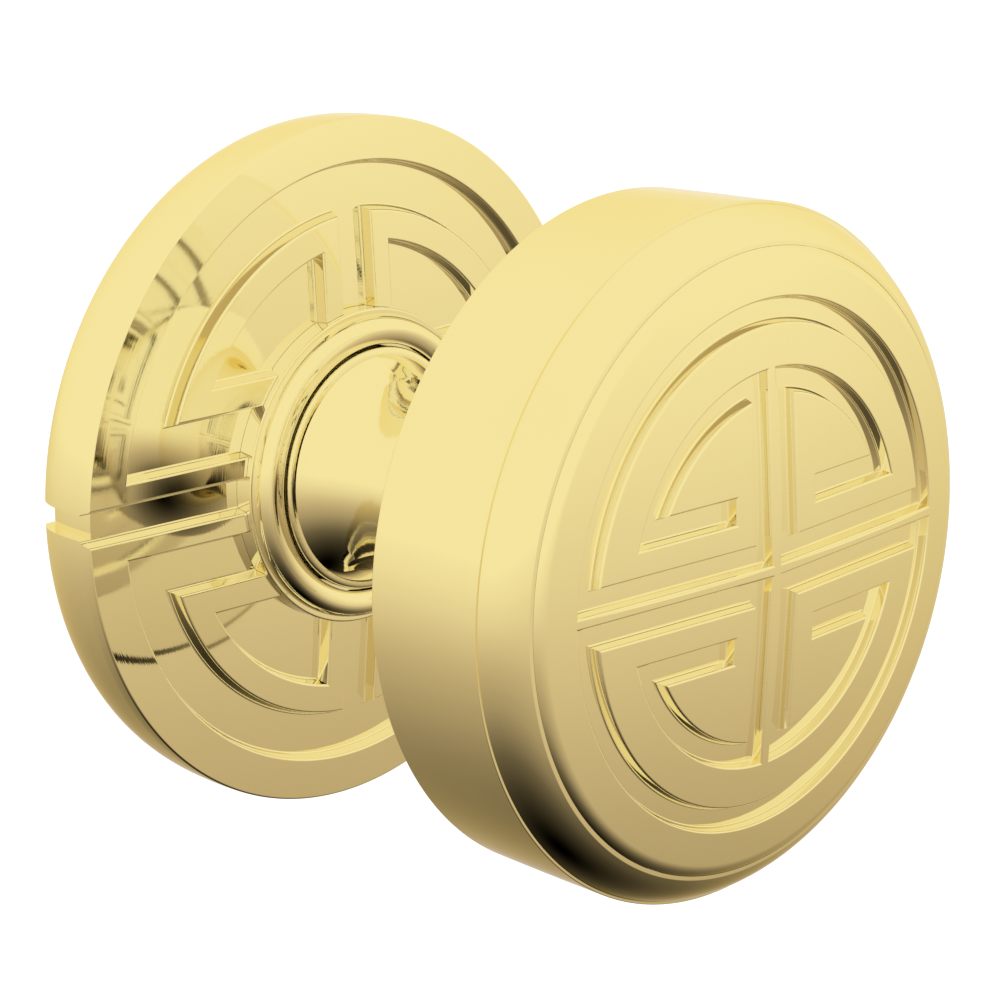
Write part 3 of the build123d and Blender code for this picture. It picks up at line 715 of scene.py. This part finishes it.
# ---- materials ----------------------------------------------------------------------------------
MIX_INPUTS = (0, 6, 7)            # a Mix node's factor and two colours, which share their names with others
MIX_OUTPUT = 2


class Nodes:
    """A material's node tree, with short calls for what is used here."""

    def __init__(self, name):
        self.material = bpy.data.materials.new(name)
        self.material.use_nodes = True
        self.tree = self.material.node_tree
        self.shader = self.tree.nodes["Principled BSDF"]
        self.place = self.tree.nodes.new("ShaderNodeTexCoord").outputs["Object"]

    def add(self, kind, inputs=None, **settings):
        """A new node with its settings made and its inputs set or linked."""
        node = self.tree.nodes.new(kind)
        for key, value in settings.items():
            setattr(node, key, value)
        for key, value in (inputs or {}).items():
            self.plug(node.inputs[key], value)
        return node

    def plug(self, socket, value):
        """Sets a socket, or links it when the value is another node's output."""
        if isinstance(value, bpy.types.NodeSocket):
            self.tree.links.new(value, socket)
        else:
            socket.default_value = value

    def noise(self, scale, detail=3.0, roughness=0.5, place=None):
        """A noise texture's value over the object, scale in features per metre."""
        inputs = {"Vector": place or self.place, "Scale": scale, "Detail": detail, "Roughness": roughness}
        return self.add("ShaderNodeTexNoise", inputs).outputs["Fac"]

    def spread(self, value, low, high, start=0.0, end=1.0):
        """A value from start..end moved to low..high."""
        inputs = {"Value": value, "From Min": start, "From Max": end, "To Min": low, "To Max": high}
        return self.add("ShaderNodeMapRange", inputs).outputs["Result"]

    def blend(self, value, first, second):
        """A colour between two."""
        node = self.add("ShaderNodeMix", dict(zip(MIX_INPUTS, (value, first, second))), data_type="RGBA")
        return node.outputs[MIX_OUTPUT]

    def radius(self):
        """Distance from the spindle's axis, in metres."""
        level = self.add("ShaderNodeVectorMath", {0: self.place, 1: (1, 0, 1)}, operation="MULTIPLY")
        distance = self.add("ShaderNodeVectorMath", {0: level.outputs["Vector"]}, operation="LENGTH")
        return distance.outputs["Value"]

    def turned_lines(self, per_metre):
        """Fine rings about the axis, as a lathe leaves them."""
        inputs = {"W": self.radius(), "Scale": per_metre, "Detail": 2.0}
        return self.add("ShaderNodeTexNoise", inputs, noise_dimensions="1D").outputs["Fac"]

    def bump(self, height, strength, distance):
        """Links a height to the shader's normal."""
        inputs = {"Height": height, "Strength": strength, "Distance": distance}
        self.plug(self.shader.inputs["Normal"], self.add("ShaderNodeBump", inputs).outputs["Normal"])

    def finish(self, **sockets):
        """Sets or links the shader's sockets, named with underscores for spaces."""
        for key, value in sockets.items():
            self.plug(self.shader.inputs[key.replace("_", " ")], value)
        return self.material


def polished_brass():
    """Lacquered pale brass, mirror bright. Brass seen in brass is barely tinted a second time."""
    nodes = Nodes("polished_brass")
    cloud = nodes.noise(60, 2.0)
    colour = nodes.blend(cloud, (0.905, 0.765, 0.330, 1), (0.925, 0.795, 0.358, 1))
    smudge = nodes.spread(nodes.noise(140, 4.0, 0.6), 0.030, 0.060, 0.35, 0.75)
    nodes.bump(nodes.turned_lines(5000), 0.05, 0.00002)
    second = nodes.add("ShaderNodeLightPath").outputs["Is Glossy Ray"]
    seen = nodes.blend(second, colour, (0.96, 0.95, 0.91, 1))
    return nodes.finish(Base_Color=seen, Metallic=1.0, Roughness=smudge, Specular_Tint=(0.96, 0.88, 0.60, 1))


def zinc_steel():
    """Pale zinc plate with a faint spangle."""
    nodes = Nodes("zinc_steel")
    spangle = nodes.noise(500, 4.0, 0.6)
    colour = nodes.blend(spangle, (0.52, 0.53, 0.52, 1), (0.72, 0.72, 0.68, 1))
    nodes.bump(nodes.noise(4000, 2.0), 0.15, 0.00004)
    return nodes.finish(Base_Color=colour, Metallic=1.0, Roughness=nodes.spread(spangle, 0.28, 0.45))


def spring_steel():
    """Darker drawn steel."""
    nodes = Nodes("spring_steel")
    drawn = nodes.noise(900, 3.0, 0.6)
    colour = nodes.blend(drawn, (0.30, 0.30, 0.31, 1), (0.46, 0.45, 0.44, 1))
    return nodes.finish(Base_Color=colour, Metallic=1.0, Roughness=nodes.spread(drawn, 0.2, 0.36))


def nylon():
    """Natural nylon."""
    nodes = Nodes("nylon")
    cloud = nodes.noise(300, 3.0)
    colour = nodes.blend(cloud, (0.78, 0.75, 0.66, 1), (0.86, 0.84, 0.77, 1))
    nodes.bump(nodes.noise(6000, 2.0), 0.1, 0.00003)
    return nodes.finish(Base_Color=colour, Roughness=nodes.spread(cloud, 0.38, 0.5))


def black_steel():
    """Blackened steel."""
    nodes = Nodes("black_steel")
    worn = nodes.noise(1500, 4.0, 0.6)
    colour = nodes.blend(nodes.spread(worn, 0, 1, 0.55, 0.75), (0.02, 0.02, 0.022, 1), (0.12, 0.12, 0.12, 1))
    return nodes.finish(Base_Color=colour, Metallic=0.7, Roughness=nodes.spread(worn, 0.3, 0.5))


def die_cast():
    """Die cast zinc."""
    nodes = Nodes("die_cast")
    grain = nodes.noise(2500, 3.0, 0.6)
    colour = nodes.blend(grain, (0.42, 0.42, 0.43, 1), (0.58, 0.58, 0.58, 1))
    nodes.bump(grain, 0.2, 0.00005)
    return nodes.finish(Base_Color=colour, Metallic=1.0, Roughness=nodes.spread(grain, 0.4, 0.55))


NODE_MATERIALS = {
    polished_brass: ("rose_cover", "collar_ring", "neck", "knob_shell", "face_disc"),
    zinc_steel: ("mounting_plate", "fixing_posts", "plate_screws", "spindle", "hub_washer", "hub_nut"),
    spring_steel: ("snap_ring", "return_spring", "circlip", "thrust_shim"),
    nylon: ("bearing_bush", "thrust_washer"),
    black_steel: ("grub_screw", "stop_pins"),
    die_cast: ("spring_driver", "spring_cassette", "cassette_lid"),
}
made = {}
for recipe, names in NODE_MATERIALS.items():
    made[recipe] = recipe()
    for name in names:
        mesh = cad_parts[name].data
        mesh.materials.clear()
        mesh.materials.append(made[recipe])
brass = made[polished_brass]

make_rose_cover(brass)
make_collar_ring(brass)
make_knob_shell(brass)
make_face_disc(brass)


# ---- studio -------------------------------------------------------------------------------------
# (sine of the elevation, brightness) of the surroundings: white above, darkening towards the ground
TENT = (
    (-1.0, 0.0), (-0.91, 0.06), (-0.81, 0.15), (-0.74, 0.25), (-0.62, 0.42), (-0.5, 0.55),
    (-0.42, 0.64), (-0.34, 0.73), (-0.24, 0.84), (-0.14, 0.92), (0.0, 1.0),
)
WARMTH = (0.0, 0.12, 0.15)        # how much of each colour the darker surroundings lose
WARM_FROM = 0.4


def make_world():
    """A white tent that darkens and warms below the horizon."""
    world = bpy.data.worlds.new("studio")
    bpy.context.scene.world = world
    world.use_nodes = True
    tree = world.node_tree
    place = tree.nodes.new("ShaderNodeTexCoord")
    split = tree.nodes.new("ShaderNodeSeparateXYZ")
    height = tree.nodes.new("ShaderNodeMapRange")
    ramp = tree.nodes.new("ShaderNodeValToRGB")
    height.inputs["From Min"].default_value = -1.0
    tree.links.new(place.outputs["Generated"], split.inputs["Vector"])
    tree.links.new(split.outputs["Z"], height.inputs["Value"])
    tree.links.new(height.outputs["Result"], ramp.inputs["Fac"])
    tree.links.new(ramp.outputs["Color"], tree.nodes["Background"].inputs["Color"])
    stops = ramp.color_ramp.elements
    while len(stops) < len(TENT):
        stops.new(0.5)
    for stop, (sine, level) in zip(stops, TENT):
        loss = min(1.0, (1.0 - level) / WARM_FROM)
        stop.position = (sine + 1.0) / 2
        stop.color = (*[level * (1.0 - warmth * loss) for warmth in WARMTH], 1.0)


FLOOR_HALF = 20.0
FLOOR_DROP = 0.16                 # below the lowest point of the part
FLOOR_CORNERS = ((-1, -1), (1, -1), (1, 1), (-1, 1))


def make_floor(low):
    """A plain pale floor, well below the part, which hangs on its door."""
    corners = [(x * FLOOR_HALF, y * FLOOR_HALF, low - FLOOR_DROP) for x, y in FLOOR_CORNERS]
    mesh = bpy.data.meshes.new("floor")
    mesh.from_pydata(corners, [], [(0, 1, 2, 3)])
    nodes = Nodes("pale_floor")
    cloud = nodes.noise(3, 2.0)
    colour = nodes.blend(cloud, (0.90, 0.90, 0.90, 1), (0.93, 0.93, 0.93, 1))
    mesh.materials.append(nodes.finish(Base_Color=colour, Roughness=0.9))
    floor = bpy.data.objects.new("floor", mesh)
    bpy.context.scene.collection.objects.link(floor)
    floor.visible_glossy = False


SUN_STRENGTH = 1.2
SUN_WIDTH = math.radians(60)
SUN_TURN = (math.radians(25), math.radians(-20), 0)


def make_sun():
    """Soft light from above for the floor and the matt pieces."""
    light = bpy.data.lights.new("key", "SUN")
    light.energy = SUN_STRENGTH
    light.angle = SUN_WIDTH
    sun = bpy.data.objects.new("key", light)
    sun.rotation_euler = SUN_TURN
    sun.visible_glossy = False
    bpy.context.scene.collection.objects.link(sun)


CAMERA_AZIMUTH = math.radians(-46.85)
CAMERA_ELEVATION = math.radians(15.75)
CAMERA_LENS = 152.3               # in mm
CAMERA_SENSOR = 36.0
CAMERA_NEAR = 0.01
CAMERA_PLACE = (-0.2756, -0.2862, 0.1065)


def make_camera():
    """The camera, looking from the front left and a little above."""
    level = math.cos(CAMERA_ELEVATION)
    lens = bpy.data.cameras.new("camera")
    lens.lens = CAMERA_LENS
    lens.sensor_width = CAMERA_SENSOR
    lens.clip_start = CAMERA_NEAR
    camera = bpy.data.objects.new("camera", lens)
    camera.location = CAMERA_PLACE
    back = Vector((
        math.sin(CAMERA_AZIMUTH) * level, -math.cos(CAMERA_AZIMUTH) * level, math.sin(CAMERA_ELEVATION),
    ))
    camera.rotation_mode = "QUATERNION"
    camera.rotation_quaternion = (-back).to_track_quat("-Z", "Y")
    bpy.context.scene.collection.objects.link(camera)
    bpy.context.scene.camera = camera


make_world()
make_floor(cad_box[0].z)
make_sun()
make_camera()
bpy.context.scene.view_settings.view_transform = "Standard"
